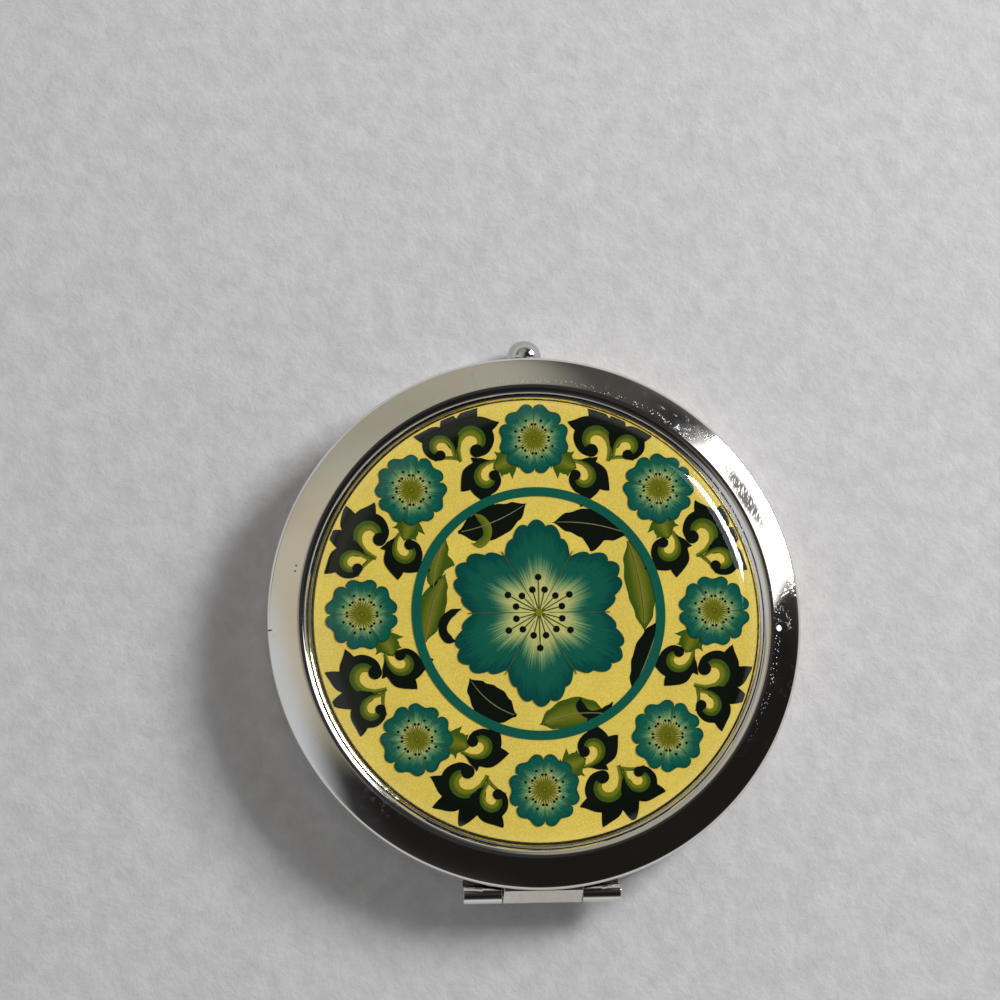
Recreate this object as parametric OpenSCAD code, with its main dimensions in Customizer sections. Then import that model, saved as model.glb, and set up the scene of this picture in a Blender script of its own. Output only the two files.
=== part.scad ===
// Round hinged compact mirror, closed and lying flat on its base.
// Millimetres. Z is up, the hinge is at -Y and the push button at +Y.
// The origin is the centre of the case on the face that it rests on.

/* [Case] */
// Diameter of the printed disc that the case is made for
insert_d = 58; // [50:0.5:64]
// Width of the metal from the printed disc out to the edge of the case
margin = 6; // [5:0.1:7]
// Height of the base up to the parting line
base_h = 4.4; // [4.3:0.1:6]
// Height of the lid's straight wall
lid_wall_h = 2.7; // [2.6:0.1:4]
// Gap between the two rims when closed
seam_gap = 0.15; // [0.1:0.05:0.2]
// Thickness of the side walls and the bezel
wall = 0.7; // [0.5:0.05:0.8]
// Thickness of the base's floor and of the tray under the insert
floor_t = 0.7; // [0.5:0.05:0.8]
// Outer corner radius between the base's floor and wall
base_corner_r = 1.6; // [1.2:0.1:2]
// Outer corner radius between the lid's wall and bezel
lid_corner_r = 1; // [0.9:0.05:1.2]
// Edge break on the two rims
rim_break = 0.12; // [0.05:0.01:0.2]

/* [Bezel and insert] */
// Slope of the bezel, measured half way across it
bezel_slope = 15; // [8:1:18]
// Crown of the bezel: half the change of slope across it
bezel_crown = 3; // [1:0.5:5]
// Radius of the rolled edge round the insert
roll_r = 0.6; // [0.4:0.05:0.7]
// Gap round the printed disc
insert_gap = 0.25; // [0.1:0.05:0.4]
// Depth of the insert's tray below the rolled edge
tray_depth = 0.95; // [0.8:0.05:1.1]
// Width of the step round the tray
step_w = 0.6; // [0.3:0.05:0.7]
// Height of the step above the tray's floor
step_h = 0.4; // [0.2:0.05:0.6]
// Thickness of the glue sheet under the printed disc
glue_t = 0.15; // [0.1:0.05:0.2]
// Thickness of the printed disc
print_t = 0.3; // [0.2:0.05:0.4]
// Height of the resin dome above the print
resin_h = 1.45; // [1.2:0.05:2]
// Radius of the resin dome's shoulder
resin_shoulder_r = 1.25; // [0.9:0.05:1.3]

/* [Mirrors] */
// Distance of both mirror glasses from the edge of the case
mirror_inset = 6.5; // [6.5:0.1:9]
// Thickness of the flat mirror in the lid
lid_mirror_t = 1.4; // [1:0.1:1.6]
// Edge thickness of the magnifying mirror in the base
base_mirror_t = 1.9; // [1.4:0.1:2.2]
// Depth of the magnifying mirror's hollow face
dish = 0.4; // [0.2:0.05:0.6]
// Gap round each glass
mirror_gap = 0.25; // [0.15:0.05:0.4]
// Thickness of the mirror frames
frame_t = 0.4; // [0.3:0.05:0.5]
// Width of the frame's lip over the edge of the glass
lip = 0.6; // [0.4:0.05:1]
// Depth of each glass below the face of its frame
glass_depth = 0.65; // [0.6:0.05:0.8]
// Depth of each frame's face inside its rim
frame_depth = 0.2; // [0.15:0.05:0.3]
// Gap between a frame and the side wall
frame_gap = 0.15; // [0.1:0.05:0.25]

/* [Hinge] */
// Overall length of the hinge barrel
hinge_w = 20.4; // [18:0.2:22]
// Length of the lid's middle knuckle
knuckle_w = 10.2; // [8:0.2:11]
// Gap between neighbouring knuckles
knuckle_gap = 0.15; // [0.1:0.05:0.25]
// Diameter of the barrel
barrel_d = 2.4; // [2.2:0.05:2.5]
// Distance of the hinge axis outside the case wall
axis_out = 0.3; // [0.25:0.05:0.5]
// Diameter of the hinge pin
pin_d = 1; // [0.8:0.05:1.2]
// Radial running clearance of the pin in the lid's knuckle
pin_clear = 0.04; // [0.02:0.01:0.08]
// Clearance round the barrel in walls and frames
relief = 0.2; // [0.15:0.05:0.25]
// Thickness of the hinge leaves' bars
leaf_t = 0.7; // [0.5:0.05:0.9]

/* [Button and latch] */
// Diameter of the ball on the push button
ball_d = 4.6; // [4:0.1:4.6]
// Distance of the ball's flat back behind its centre
ball_cut = 0.35; // [0.2:0.05:0.5]
// Travel of the push button
travel = 0.7; // [0.6:0.05:0.8]
// Gap left between ball and wall when pressed
stop_gap = 0.15; // [0.1:0.05:0.2]
// Diameter of the button's stem
stem_d = 1.8; // [1.4:0.1:1.8]
// Radial running clearance of the stem in the wall
stem_clear = 0.08; // [0.04:0.01:0.1]
// Diameter of the stem's two turned-down ends
spigot_d = 1; // [0.8:0.05:1]
// Depth of the spigot's hole in the ball
spigot_l = 1.2; // [0.8:0.1:1.6]
// Width of the latch slide
slide_w = 6.2; // [5.8:0.1:6.6]
// Thickness of the latch slide's plate
slide_t = 0.6; // [0.5:0.05:0.65]
// Thickness of the slide's upright flange
flange_t = 0.7; // [0.6:0.05:0.8]
// Width of the slide's upright flange
flange_w = 4.4; // [3.6:0.1:4.4]
// Length of the slide's bar behind its window
catch_bar = 0.8; // [0.7:0.05:0.9]
// Thickness of the latch guide's side rails
rail_t = 0.8; // [0.6:0.1:1]
// Width of the lid's hook
hook_w = 2.2; // [1.8:0.1:2.4]
// Thickness of the hook's shank
hook_t = 0.7; // [0.6:0.05:0.75]
// Reach of the hook's nose under the slide
nose = 0.7; // [0.6:0.05:0.75]
// Overlap of nose and slide when latched
catch = 0.5; // [0.4:0.05:0.55]
// Height of the hook's nose
nose_h = 0.9; // [0.7:0.05:1]
// Thickness of the latch spring's strip
spring_t = 0.2; // [0.15:0.01:0.25]
// Width of the latch spring's strip
spring_w = 1.2; // [1:0.1:1.4]
// Span of the latch spring's bow
spring_l = 5.4; // [5:0.1:5.6]
// Shank diameter of the two hook rivets
rivet_d = 0.9; // [0.7:0.05:1]
// Diameter of the rivets' heads
rivet_head_d = 1.45; // [1.2:0.05:1.6]

/* [Hidden] */
$fn = 96;

// Overrun of every cut past the face that it opens
over = 1;
// Running or assembly gap between flat faces
fit = 0.05;
// Gap between latch parts that pass each other
latch_gap = 0.1;
// Steps along a rounded corner of a profile
corner_steps = 6;
// Steps across the bezel, the resin's crown and the hollow mirror
crown_steps = 8;

// Case
insert_r = insert_d / 2;
case_r = insert_r + margin;
inner_r = case_r - wall;
lid_z = base_h + seam_gap;
lid_corner_z = lid_z + lid_wall_h;
base_inner_r = base_corner_r - wall;

// Bezel: a large arc that starts at the lid's corner and ends at the rolled edge
pocket_r = insert_r + insert_gap;
step_r = pocket_r + step_w;
roll_x = step_r + roll_r;
outer_tilt = 90 - bezel_slope - bezel_crown;
inner_tilt = 90 - bezel_slope + bezel_crown;
bezel_start = [case_r - lid_corner_r, lid_corner_z] + lid_corner_r * [cos(outer_tilt), sin(outer_tilt)];
bezel_w = bezel_start.x - roll_x - roll_r * cos(inner_tilt);
bezel_r = bezel_w / (cos(outer_tilt) - cos(inner_tilt));
bezel_c = bezel_start - bezel_r * [cos(outer_tilt), sin(outer_tilt)];
bezel_end = bezel_c + bezel_r * [cos(inner_tilt), sin(inner_tilt)];
roll_c = bezel_end - roll_r * [cos(inner_tilt), sin(inner_tilt)];
crest_z = roll_c.y + roll_r;

// Insert
tray_z = crest_z - tray_depth;
ceiling_z = tray_z - floor_t;
print_z = tray_z + glue_t;
resin_z = print_z + print_t;
resin_crown = resin_h - resin_shoulder_r;
glue_margin = 2 * insert_gap;

// Mirrors and frames
mirror_r = case_r - mirror_inset;
tray_r = mirror_r + mirror_gap;
tray_out_r = tray_r + frame_t;
lip_r = mirror_r - lip;
frame_r = inner_r - frame_gap;
lip_edge = frame_t / 2;
base_face_z = base_h - frame_depth;
base_glass_z = base_face_z - glass_depth;
base_mirror_z = base_glass_z - base_mirror_t;
lid_face_z = lid_z + frame_depth;
lid_glass_z = lid_face_z + glass_depth;
lid_pad_z = lid_glass_z + lid_mirror_t;
under_base_frame = base_face_z - frame_t - fit;
over_lid_frame = lid_face_z + frame_t;

// Hinge
barrel_r = barrel_d / 2;
hinge_y = -case_r - axis_out;
hinge_z = base_h + seam_gap / 2;
notch_z = hinge_z - barrel_r - relief;
side_x = knuckle_w / 2 + knuckle_gap;
side_w = hinge_w / 2 - side_x;
base_bar_y = -sqrt(pow(inner_r, 2) - pow(hinge_w / 2, 2)) + 2 * fit;
lid_bar_y = -sqrt(pow(inner_r, 2) - pow(knuckle_w / 2, 2)) + 2 * fit;
lid_bar_z = over_lid_frame + fit;
tongue_z = lid_corner_z - frame_gap;
tongue_root = [-case_r - fit, tongue_z];
// The tongue's outer face ends a little inside its tangent point on the barrel
tangent_share = 0.98;
tongue_reach = norm(tongue_root - [hinge_y, hinge_z]);
tongue_dir = atan2(tongue_z - hinge_z, axis_out - fit) + acos(barrel_r / tongue_reach);
tongue_tip = [hinge_y, hinge_z] + tangent_share * barrel_r * [cos(tongue_dir), sin(tongue_dir)];

// Latch, from the case wall inwards
flange_y = inner_r - 2 * latch_gap - flange_t;
shank_y = flange_y - travel - latch_gap - catch / 2 - hook_t;
window_y = shank_y - nose + catch;
slide_y = window_y - catch_bar;
slide_z = under_base_frame - 2 * latch_gap - slide_t;
window_w = hook_w + 6 * latch_gap;
hook_top_z = over_lid_frame + frame_t + latch_gap;
hook_z = slide_z - latch_gap - nose_h;
hook_foot_l = 2 * hook_t;
hook_foot_w = hook_w + 3 * rivet_d + fit;
flange_z = base_corner_r + latch_gap;
button_z = (flange_z + slide_z + slide_t) / 2;
ball_y = case_r + travel + stop_gap;
rail_in = slide_w / 2 + latch_gap;
ledge_w = slide_w / 2 - flange_w / 2 - 2 * latch_gap;
guide_y = tray_out_r + 2 * latch_gap;
guide_end_y = sqrt(pow(case_r - base_corner_r, 2) - pow(rail_in + rail_t, 2)) - latch_gap;
spring_y = tray_out_r + fit;
spring_rise = slide_y - fit - spring_y;
spring_r = (pow(spring_l / 2, 2) + pow(spring_rise, 2)) / (2 * spring_rise);
spring_z = under_base_frame - spring_w;

// Points of an arc in a profile
function arc(c, r, a0, a1, n = corner_steps) =
    [for (i = [0:n]) c + r * [cos(a0 + (a1 - a0) * i / n), sin(a0 + (a1 - a0) * i / n)]];

// Outer line of the lid's section, from the rim over the bezel to the tray
function lid_outline() = concat(
    [[case_r - rim_break, lid_z], [case_r, lid_z + rim_break]],
    arc([case_r - lid_corner_r, lid_corner_z], lid_corner_r, 0, outer_tilt),
    arc(bezel_c, bezel_r, outer_tilt, inner_tilt, crown_steps),
    arc(roll_c, roll_r, inner_tilt, 180),
    [[step_r, tray_z + step_h], [pocket_r, tray_z + step_h], [pocket_r, tray_z], [0, tray_z]]
);

// Inner line of the lid's section, from the tray's underside back to the rim
function lid_inline() = concat(
    [[0, ceiling_z], [step_r + wall, ceiling_z]],
    [[step_r + wall, bezel_end.y - wall / cos(bezel_slope)]],
    arc([case_r - lid_corner_r, lid_corner_z], lid_corner_r - wall, outer_tilt, 0),
    [[inner_r, lid_z + rim_break], [inner_r + rim_break, lid_z]]
);

// Section of a mirror frame: a ring plate, a sloping lip and a tray wall.
// face is the height of the visible face, way is 1 for a face that looks up
module frame_section(face, foot, way) {
    polygon([
        [tray_r, foot],
        [tray_r, face - way * (glass_depth - fit)],
        [lip_r, face - way * (glass_depth - fit)],
        [lip_r, face - way * (glass_depth - fit - lip_edge)],
        [tray_out_r, face],
        [frame_r, face],
        [frame_r, face - way * frame_t],
        [tray_out_r, face - way * frame_t],
        [tray_out_r, foot]
    ]);
}

// A solid along X from a section drawn in Y and Z
module along_x(width, x = 0) {
    translate([x, 0, 0]) rotate([90, 0, 90]) linear_extrude(width, center = true) children();
}

// A round bar along the hinge axis
module hinge_rod(radius, width, x = 0) {
    translate([x, hinge_y, hinge_z]) rotate([0, 90, 0]) cylinder(r = radius, h = width, center = true);
}

// A round bar along the button's axis, from y0 to y1
module button_rod(radius, y0, y1) {
    translate([0, y0, button_z]) rotate([-90, 0, 0]) cylinder(r = radius, h = y1 - y0);
}

// A box from its lowest to its highest corner
module box(low, high) {
    translate(low) cube(high - low);
}

// Room for the barrel in walls and frames
module hinge_room() {
    hinge_rod(barrel_r + relief, hinge_w + 2 * relief);
}

module base_shell() {
    color("silver") difference() {
        rotate_extrude() polygon(concat(
            [[0, 0]],
            arc([case_r - base_corner_r, base_corner_r], base_corner_r, -90, 0),
            [[case_r, base_h - rim_break], [case_r - rim_break, base_h]],
            [[inner_r + rim_break, base_h], [inner_r, base_h - rim_break]],
            arc([inner_r - base_inner_r, floor_t + base_inner_r], base_inner_r, 0, -90),
            [[0, floor_t]]
        ));
        box(
            [-hinge_w / 2 - fit, -case_r - over, notch_z],
            [hinge_w / 2 + fit, base_bar_y, base_h + over]
        );
        button_rod(stem_d / 2 + stem_clear, inner_r - over, case_r + over);
    }
}

module base_hinge_leaf() {
    color("lightsteelblue") difference() {
        union() {
            box(
                [-hinge_w / 2, base_bar_y, base_corner_r],
                [hinge_w / 2, base_bar_y + leaf_t, under_base_frame]
            );
            for (side = [-1, 1]) {
                hinge_rod(barrel_r, side_w, side * (side_x + side_w / 2));
                along_x(side_w, side * (side_x + side_w / 2)) polygon([
                    [hinge_y, notch_z + fit],
                    [base_bar_y + leaf_t / 2, notch_z + fit],
                    [base_bar_y + leaf_t / 2, under_base_frame],
                    [hinge_y, under_base_frame]
                ]);
            }
        }
        hinge_rod(pin_d / 2, hinge_w + over);
    }
}

module hinge_pin() {
    color("dimgray") hinge_rod(pin_d / 2, hinge_w);
}

module base_mirror_pad() {
    color("white") translate([0, 0, floor_t]) cylinder(r = mirror_r - lip, h = base_mirror_z - floor_t);
}

module base_mirror() {
    color("lightblue") translate([0, 0, base_mirror_z]) rotate_extrude() polygon(concat(
        [[0, 0], [mirror_r, 0], [mirror_r, base_mirror_t]],
        [for (i = [crown_steps:-1:0]) let (share = i / crown_steps)
            [lip_r * share, base_mirror_t - dish * (1 - pow(share, 2))]]
    ));
}

module base_mirror_frame() {
    color("gainsboro") difference() {
        rotate_extrude() frame_section(base_face_z, floor_t, 1);
        hinge_room();
        box(
            [-window_w / 2, window_y - catch - latch_gap, under_base_frame - over],
            [window_w / 2, shank_y + hook_t + latch_gap, base_h + over]
        );
    }
}

module latch_guide() {
    color("darkgray") union() {
        box([-rail_in - rail_t, guide_y, floor_t], [rail_in + rail_t, guide_end_y, floor_t + frame_t]);
        for (side = [-1, 1]) scale([side, 1, 1]) {
            box([rail_in, guide_y, floor_t], [rail_in + rail_t, guide_end_y, under_base_frame]);
            box(
                [rail_in - latch_gap - ledge_w, slide_y - travel, floor_t],
                [rail_in + rail_t / 2, flange_y - travel - latch_gap, slide_z - fit]
            );
        }
    }
}

module latch_spring() {
    color("goldenrod") translate([0, spring_y + spring_rise - spring_r, spring_z]) intersection() {
        difference() {
            cylinder(r = spring_r, h = spring_w);
            translate([0, 0, -over]) cylinder(r = spring_r - spring_t, h = spring_w + 2 * over);
        }
        box(
            [-spring_l / 2, spring_r - spring_rise, -over],
            [spring_l / 2, spring_r + over, spring_w + over]
        );
    }
}

module lid_shell() {
    color("silver") difference() {
        rotate_extrude() polygon(concat(lid_outline(), lid_inline()));
        intersection() {
            hinge_room();
            box([-case_r, -case_r - over, 0], [case_r, -inner_r + over, crest_z]);
        }
        box(
            [-knuckle_w / 2 - fit, -case_r - over, lid_z - over],
            [knuckle_w / 2 + fit, lid_bar_y, tongue_z + fit]
        );
    }
}

module lid_hinge_leaf() {
    color("lightsteelblue") difference() {
        union() {
            hinge_rod(barrel_r, knuckle_w);
            along_x(knuckle_w) polygon([
                [hinge_y, hinge_z],
                [-frame_r - fit, lid_bar_z],
                [lid_bar_y + leaf_t, lid_bar_z],
                [lid_bar_y + leaf_t, tongue_z],
                tongue_root,
                tongue_tip
            ]);
        }
        hinge_rod(pin_d / 2 + pin_clear, knuckle_w + over);
    }
}

module insert_glue() {
    color("beige") translate([0, 0, tray_z]) cylinder(r = insert_r - glue_margin, h = glue_t);
}

module printed_disc() {
    color("khaki") translate([0, 0, print_z]) cylinder(r = insert_r, h = print_t);
}

module resin_dome() {
    crown_r = insert_r - resin_shoulder_r;
    color("lightcyan") translate([0, 0, resin_z]) rotate_extrude() polygon(concat(
        [[0, 0]],
        arc([crown_r, 0], resin_shoulder_r, 0, 90),
        [for (i = [crown_steps - 1:-1:0]) let (share = i / crown_steps)
            [crown_r * share, resin_h - resin_crown * pow(share, 2)]]
    ));
}

module lid_mirror_pad() {
    color("white") translate([0, 0, lid_pad_z]) cylinder(r = mirror_r - lip, h = ceiling_z - lid_pad_z);
}

module lid_mirror() {
    color("lightblue") translate([0, 0, lid_glass_z]) cylinder(r = mirror_r, h = lid_mirror_t);
}

// The two rivet places on the hook's foot
module at_rivets() {
    for (side = [-1, 1]) translate([side * (hook_w / 2 + rivet_d), shank_y + hook_t / 2, 0]) children();
}

module lid_mirror_frame() {
    color("gainsboro") difference() {
        rotate_extrude() frame_section(lid_face_z, ceiling_z, -1);
        hinge_room();
        box(
            [-hook_w / 2 - fit, shank_y - nose - fit, lid_face_z - over],
            [hook_w / 2 + fit, shank_y + hook_t + fit, over_lid_frame + over]
        );
        at_rivets() cylinder(r = rivet_d / 2, h = crest_z);
    }
}

module lid_catch_hook() {
    color("darkgray") difference() {
        union() {
            along_x(hook_w) polygon([
                [shank_y, hook_top_z],
                [shank_y, hook_z + nose_h],
                [shank_y - nose, hook_z + nose_h],
                [shank_y - nose, hook_z + nose_h / 2],
                [shank_y, hook_z],
                [shank_y + hook_t, hook_z],
                [shank_y + hook_t, hook_top_z]
            ]);
            box(
                [-hook_foot_w / 2, shank_y - hook_foot_l / 2, over_lid_frame],
                [hook_foot_w / 2, shank_y + hook_t + hook_foot_l / 2, hook_top_z]
            );
        }
        at_rivets() cylinder(r = rivet_d / 2, h = crest_z);
    }
}

module hook_rivets() {
    color("dimgray") at_rivets() {
        translate([0, 0, lid_face_z - latch_gap]) cylinder(d = rivet_head_d, h = latch_gap);
        translate([0, 0, lid_face_z - fit])
            cylinder(r = rivet_d / 2, h = hook_top_z - lid_face_z + 2 * fit);
        translate([0, 0, hook_top_z]) cylinder(d = rivet_head_d, h = 2 * latch_gap);
    }
}

module button_ball() {
    ball_r = ball_d / 2;
    color("silver") translate([0, ball_y, button_z]) rotate([-90, 0, 0]) rotate_extrude() polygon(concat(
        [[0, spigot_l], [spigot_d / 2, spigot_l], [spigot_d / 2, 0]],
        arc([0, ball_cut], ball_r, -asin(ball_cut / ball_r), 90, 2 * crown_steps)
    ));
}

module button_stem() {
    color("gray") union() {
        button_rod(spigot_d / 2, flange_y, ball_y + spigot_l - fit);
        button_rod(stem_d / 2, flange_y + flange_t, ball_y);
    }
}

module latch_slide() {
    color("slategray") difference() {
        union() {
            box([-slide_w / 2, slide_y, slide_z], [slide_w / 2, flange_y, slide_z + slide_t]);
            box(
                [-flange_w / 2, flange_y - fit, flange_z],
                [flange_w / 2, flange_y + flange_t, slide_z + slide_t]
            );
        }
        box([-window_w / 2, window_y, slide_z - over], [window_w / 2, flange_y, slide_z + slide_t + over]);
        button_rod(spigot_d / 2, flange_y - over, flange_y + flange_t + over);
    }
}

base_shell();
base_hinge_leaf();
hinge_pin();
base_mirror_pad();
base_mirror();
base_mirror_frame();
latch_guide();
latch_spring();
lid_shell();
lid_hinge_leaf();
insert_glue();
printed_disc();
resin_dome();
lid_mirror_pad();
lid_mirror();
lid_mirror_frame();
lid_catch_hook();
hook_rivets();
button_ball();
button_stem();
latch_slide();
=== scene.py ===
# Looks of a round hinged compact mirror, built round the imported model.
# Lengths are metres in the model's frame: +Z up, hinge at -Y, button at +Y. Angles are degrees.
import cmath
import math

import bmesh
import bpy
from mathutils import Matrix, Vector


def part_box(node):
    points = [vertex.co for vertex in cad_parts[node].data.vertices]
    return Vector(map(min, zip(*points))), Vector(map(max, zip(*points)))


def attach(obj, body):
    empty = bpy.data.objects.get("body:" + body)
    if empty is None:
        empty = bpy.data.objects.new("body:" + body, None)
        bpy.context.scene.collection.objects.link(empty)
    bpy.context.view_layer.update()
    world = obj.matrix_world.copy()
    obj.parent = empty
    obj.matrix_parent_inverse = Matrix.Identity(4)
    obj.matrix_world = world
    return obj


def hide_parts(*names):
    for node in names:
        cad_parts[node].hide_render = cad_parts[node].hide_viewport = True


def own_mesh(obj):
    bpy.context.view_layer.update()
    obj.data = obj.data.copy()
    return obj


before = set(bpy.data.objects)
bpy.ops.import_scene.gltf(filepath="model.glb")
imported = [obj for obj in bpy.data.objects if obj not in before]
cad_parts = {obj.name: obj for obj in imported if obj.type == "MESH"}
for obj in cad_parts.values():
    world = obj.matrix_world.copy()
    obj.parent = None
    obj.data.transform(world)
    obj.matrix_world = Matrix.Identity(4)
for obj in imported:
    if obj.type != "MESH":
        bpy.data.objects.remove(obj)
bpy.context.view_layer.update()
bpy.context.scene.view_settings.view_transform = "Standard"


def low(node):
    """Lowest corner of a node's box."""
    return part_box(node)[0]


def high(node):
    """Highest corner of a node's box."""
    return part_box(node)[1]


def sin(angle):
    return math.sin(math.radians(angle))


def cos(angle):
    return math.cos(math.radians(angle))


def add_object(name, data):
    """A new object in the scene."""
    made = bpy.data.objects.new(name, data)
    bpy.context.scene.collection.objects.link(made)
    return made


MM = 1e-3

# Sizes read from the frame
CASE_R = high("base_shell").x
BASE_H = high("base_shell").z
LID_Z = low("lid_shell").z
INSERT_R = high("printed_disc").x
TRAY_Z = low("insert_glue").z
PRINT_TOP = high("printed_disc").z
MIRROR_R = high("lid_mirror").x
FRAME_R = high("lid_mirror_frame").x
HINGE_Y = (high("hinge_pin").y + low("hinge_pin").y) / 2
HINGE_Z = (high("hinge_pin").z + low("hinge_pin").z) / 2
HINGE_W = high("hinge_pin").x * 2
BALL_R = high("button_ball").x
BUTTON_Z = (high("button_ball").z + low("button_ball").z) / 2
BALL_TIP = high("button_ball").y

# Sizes that the case shares with the construction, and finer ones of its edges
WALL = 0.7e-3
FLOOR_T = 0.7e-3
BASE_CORNER_R = 1.6e-3
LID_CORNER_R = 1.0e-3
LID_EDGE_R = 0.6e-3
LID_WALL_H = 2.7e-3
RIM_BREAK = 0.12e-3
BEZEL_SLOPE = 15
BEZEL_CROWN = 3
ROLL_TOP_R = 1.5e-3
ROLL_FOOT_R = 0.3e-3
ROLL_TURN = 40
BEAD_TILTS = (20, 45)
INSERT_GAP = 0.25e-3
STEP_W = 0.6e-3
STEP_H = 0.4e-3
RESIN_H = 1.45e-3
RESIN_EDGE_H = 0.25e-3
RESIN_EDGE_TURN = 60
RESIN_SKIRT = 0.2e-3
RESIN_REACH = 1.25e-3
HINGE_RELIEF = 0.2e-3
FIT = 0.05e-3
SAME_PLACE = 1e-7
SOFT_EDGE = 0.05e-3
SOFT_ANGLE = 35
SOFT_SHADE = 40
STEM_HOLE_R = 0.98e-3
OVER = 1e-3
SPRING_T = 0.2e-3
SPRING_STEPS = 40

# Radii of the stepped tray and the rolled edge
POCKET_R = INSERT_R + INSERT_GAP
STEP_R = POCKET_R + STEP_W
ROLL_X = STEP_R + ROLL_FOOT_R + (ROLL_TOP_R - ROLL_FOOT_R) * sin(ROLL_TURN)

# Fineness of the meshes
ROUND_STEPS = 384
CORNER_STEPS = 14
BEZEL_STEPS = 20
RESIN_STEPS = 96
ROD_STEPS = 96
HOLE_STEPS = 48
BALL_STEPS = 128
DISH_STEPS = 32


# Camera, fitted to the photo's outlines of the case, the crest and the print
FOCAL_PX = 3000
PHOTO_PX = 1000
SENSOR = 36
CAMERA_TILT_X = -10.9
CAMERA_TILT_Y = 6.3
CAMERA_ROLL = 1.58
CAMERA_SHIFT = (3.9e-3, -17.0e-3)
CAMERA_DISTANCE = 0.398


def make_camera():
    """Sets the camera at the photo's viewing angle."""
    turn = (
        Matrix.Rotation(math.radians(CAMERA_TILT_X), 3, "X")
        @ Matrix.Rotation(math.radians(CAMERA_TILT_Y), 3, "Y")
        @ Matrix.Rotation(math.radians(CAMERA_ROLL), 3, "Z")
    )
    data = bpy.data.cameras.new("camera")
    data.sensor_width = SENSOR
    data.lens = FOCAL_PX * SENSOR / PHOTO_PX
    camera = add_object("camera", data)
    place = turn.transposed() @ Vector((-CAMERA_SHIFT[0], -CAMERA_SHIFT[1], CAMERA_DISTANCE))
    camera.matrix_world = Matrix.Translation(place) @ turn.transposed().to_4x4()
    bpy.context.scene.camera = camera


make_camera()


def direction(azimuth, elevation):
    """Unit vector at an angle from +X towards +Y, and above the horizon."""
    return Vector((cos(azimuth) * cos(elevation), sin(azimuth) * cos(elevation), sin(elevation)))


def area_lamp(name, azimuth, elevation, distance, width, height, radiance):
    """A soft rectangular lamp that faces the object, of the given radiance in W/m2/sr."""
    data = bpy.data.lights.new(name, "AREA")
    data.shape = "RECTANGLE"
    data.size = width
    data.size_y = height
    data.energy = radiance * math.pi * width * height
    lamp = add_object(name, data)
    toward = direction(azimuth, elevation)
    lamp.location = toward * distance
    lamp.rotation_mode = "QUATERNION"
    lamp.rotation_quaternion = toward.to_track_quat("Z", "Y")
    lamp.visible_camera = False


class Tree:
    """A node tree with short calls for the nodes that the materials share."""

    def __init__(self, tree):
        self.tree = tree
        tree.nodes.clear()

    def add(self, kind, inputs=None, **settings):
        """Adds a node, sets its properties, and sets or links its inputs by name or number."""
        made = self.tree.nodes.new("ShaderNode" + kind)
        for key, value in settings.items():
            setattr(made, key, value)
        for key, value in (inputs or {}).items():
            self.feed(made.inputs[key], value)
        return made

    def feed(self, socket, value):
        """Links a socket, or the first output of a node, or sets a plain value."""
        if isinstance(value, bpy.types.NodeSocket):
            self.tree.links.new(value, socket)
        elif isinstance(value, bpy.types.Node):
            self.tree.links.new(value.outputs[0], socket)
        else:
            socket.default_value = value

    def math(self, operation, a, b=0.0):
        return self.add("Math", {0: a, 1: b}, operation=operation).outputs[0]

    def plus(self, a, b):
        return self.math("ADD", a, b)

    def minus(self, a, b):
        return self.math("SUBTRACT", a, b)

    def times(self, a, b):
        return self.math("MULTIPLY", a, b)

    def most(self, a, b):
        return self.math("MAXIMUM", a, b)

    def vector(self, operation, a, b=(0, 0, 0)):
        made = self.add("VectorMath", {0: a, 1: b}, operation=operation)
        return made.outputs["Value" if operation in ("DOT_PRODUCT", "LENGTH") else "Vector"]

    def ramp(self, value, low_end, high_end, low_value=0.0, high_value=1.0):
        """Maps a value smoothly from one range to another."""
        ends = {0: value, 1: low_end, 2: high_end, 3: low_value, 4: high_value}
        return self.add("MapRange", ends, interpolation_type="SMOOTHSTEP").outputs[0]

    def mix(self, factor, a, b):
        """Mixes two colours."""
        return self.add("Mix", {0: factor, 6: a, 7: b}, data_type="RGBA").outputs[2]

    def noise(self, coordinates, scale, detail=3.0, roughness=0.5):
        inputs = {"Vector": coordinates, "Scale": scale, "Detail": detail, "Roughness": roughness}
        return self.add("TexNoise", inputs).outputs[0]


def make_world():
    """Plain studio surroundings: a pale horizon, dim above, with soft pale, grey and dark cards."""
    world = bpy.data.worlds.new("studio")
    bpy.context.scene.world = world
    world.use_nodes = True
    tree = Tree(world.node_tree)
    toward = tree.vector("NORMALIZE", tree.add("TexCoord").outputs["Generated"])
    height = tree.add("SeparateXYZ", {0: toward}).outputs[2]
    colour = tree.mix(tree.ramp(height, 0.3, 0.7), PALE_HORIZON, DIM_TOP)
    for azimuth, elevation, inner, outer, card in CARDS:
        across = tree.vector("DOT_PRODUCT", toward, direction(azimuth, elevation))
        shade = tree.ramp(across, cos(outer), cos(inner))
        colour = tree.mix(shade, colour, card)
    background = tree.add("Background", {"Color": colour, "Strength": 1.0})
    tree.add("OutputWorld", {"Surface": background})


PALE_HORIZON = (0.66, 0.66, 0.67, 1)
DIM_TOP = (0.035, 0.034, 0.036, 1)
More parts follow.
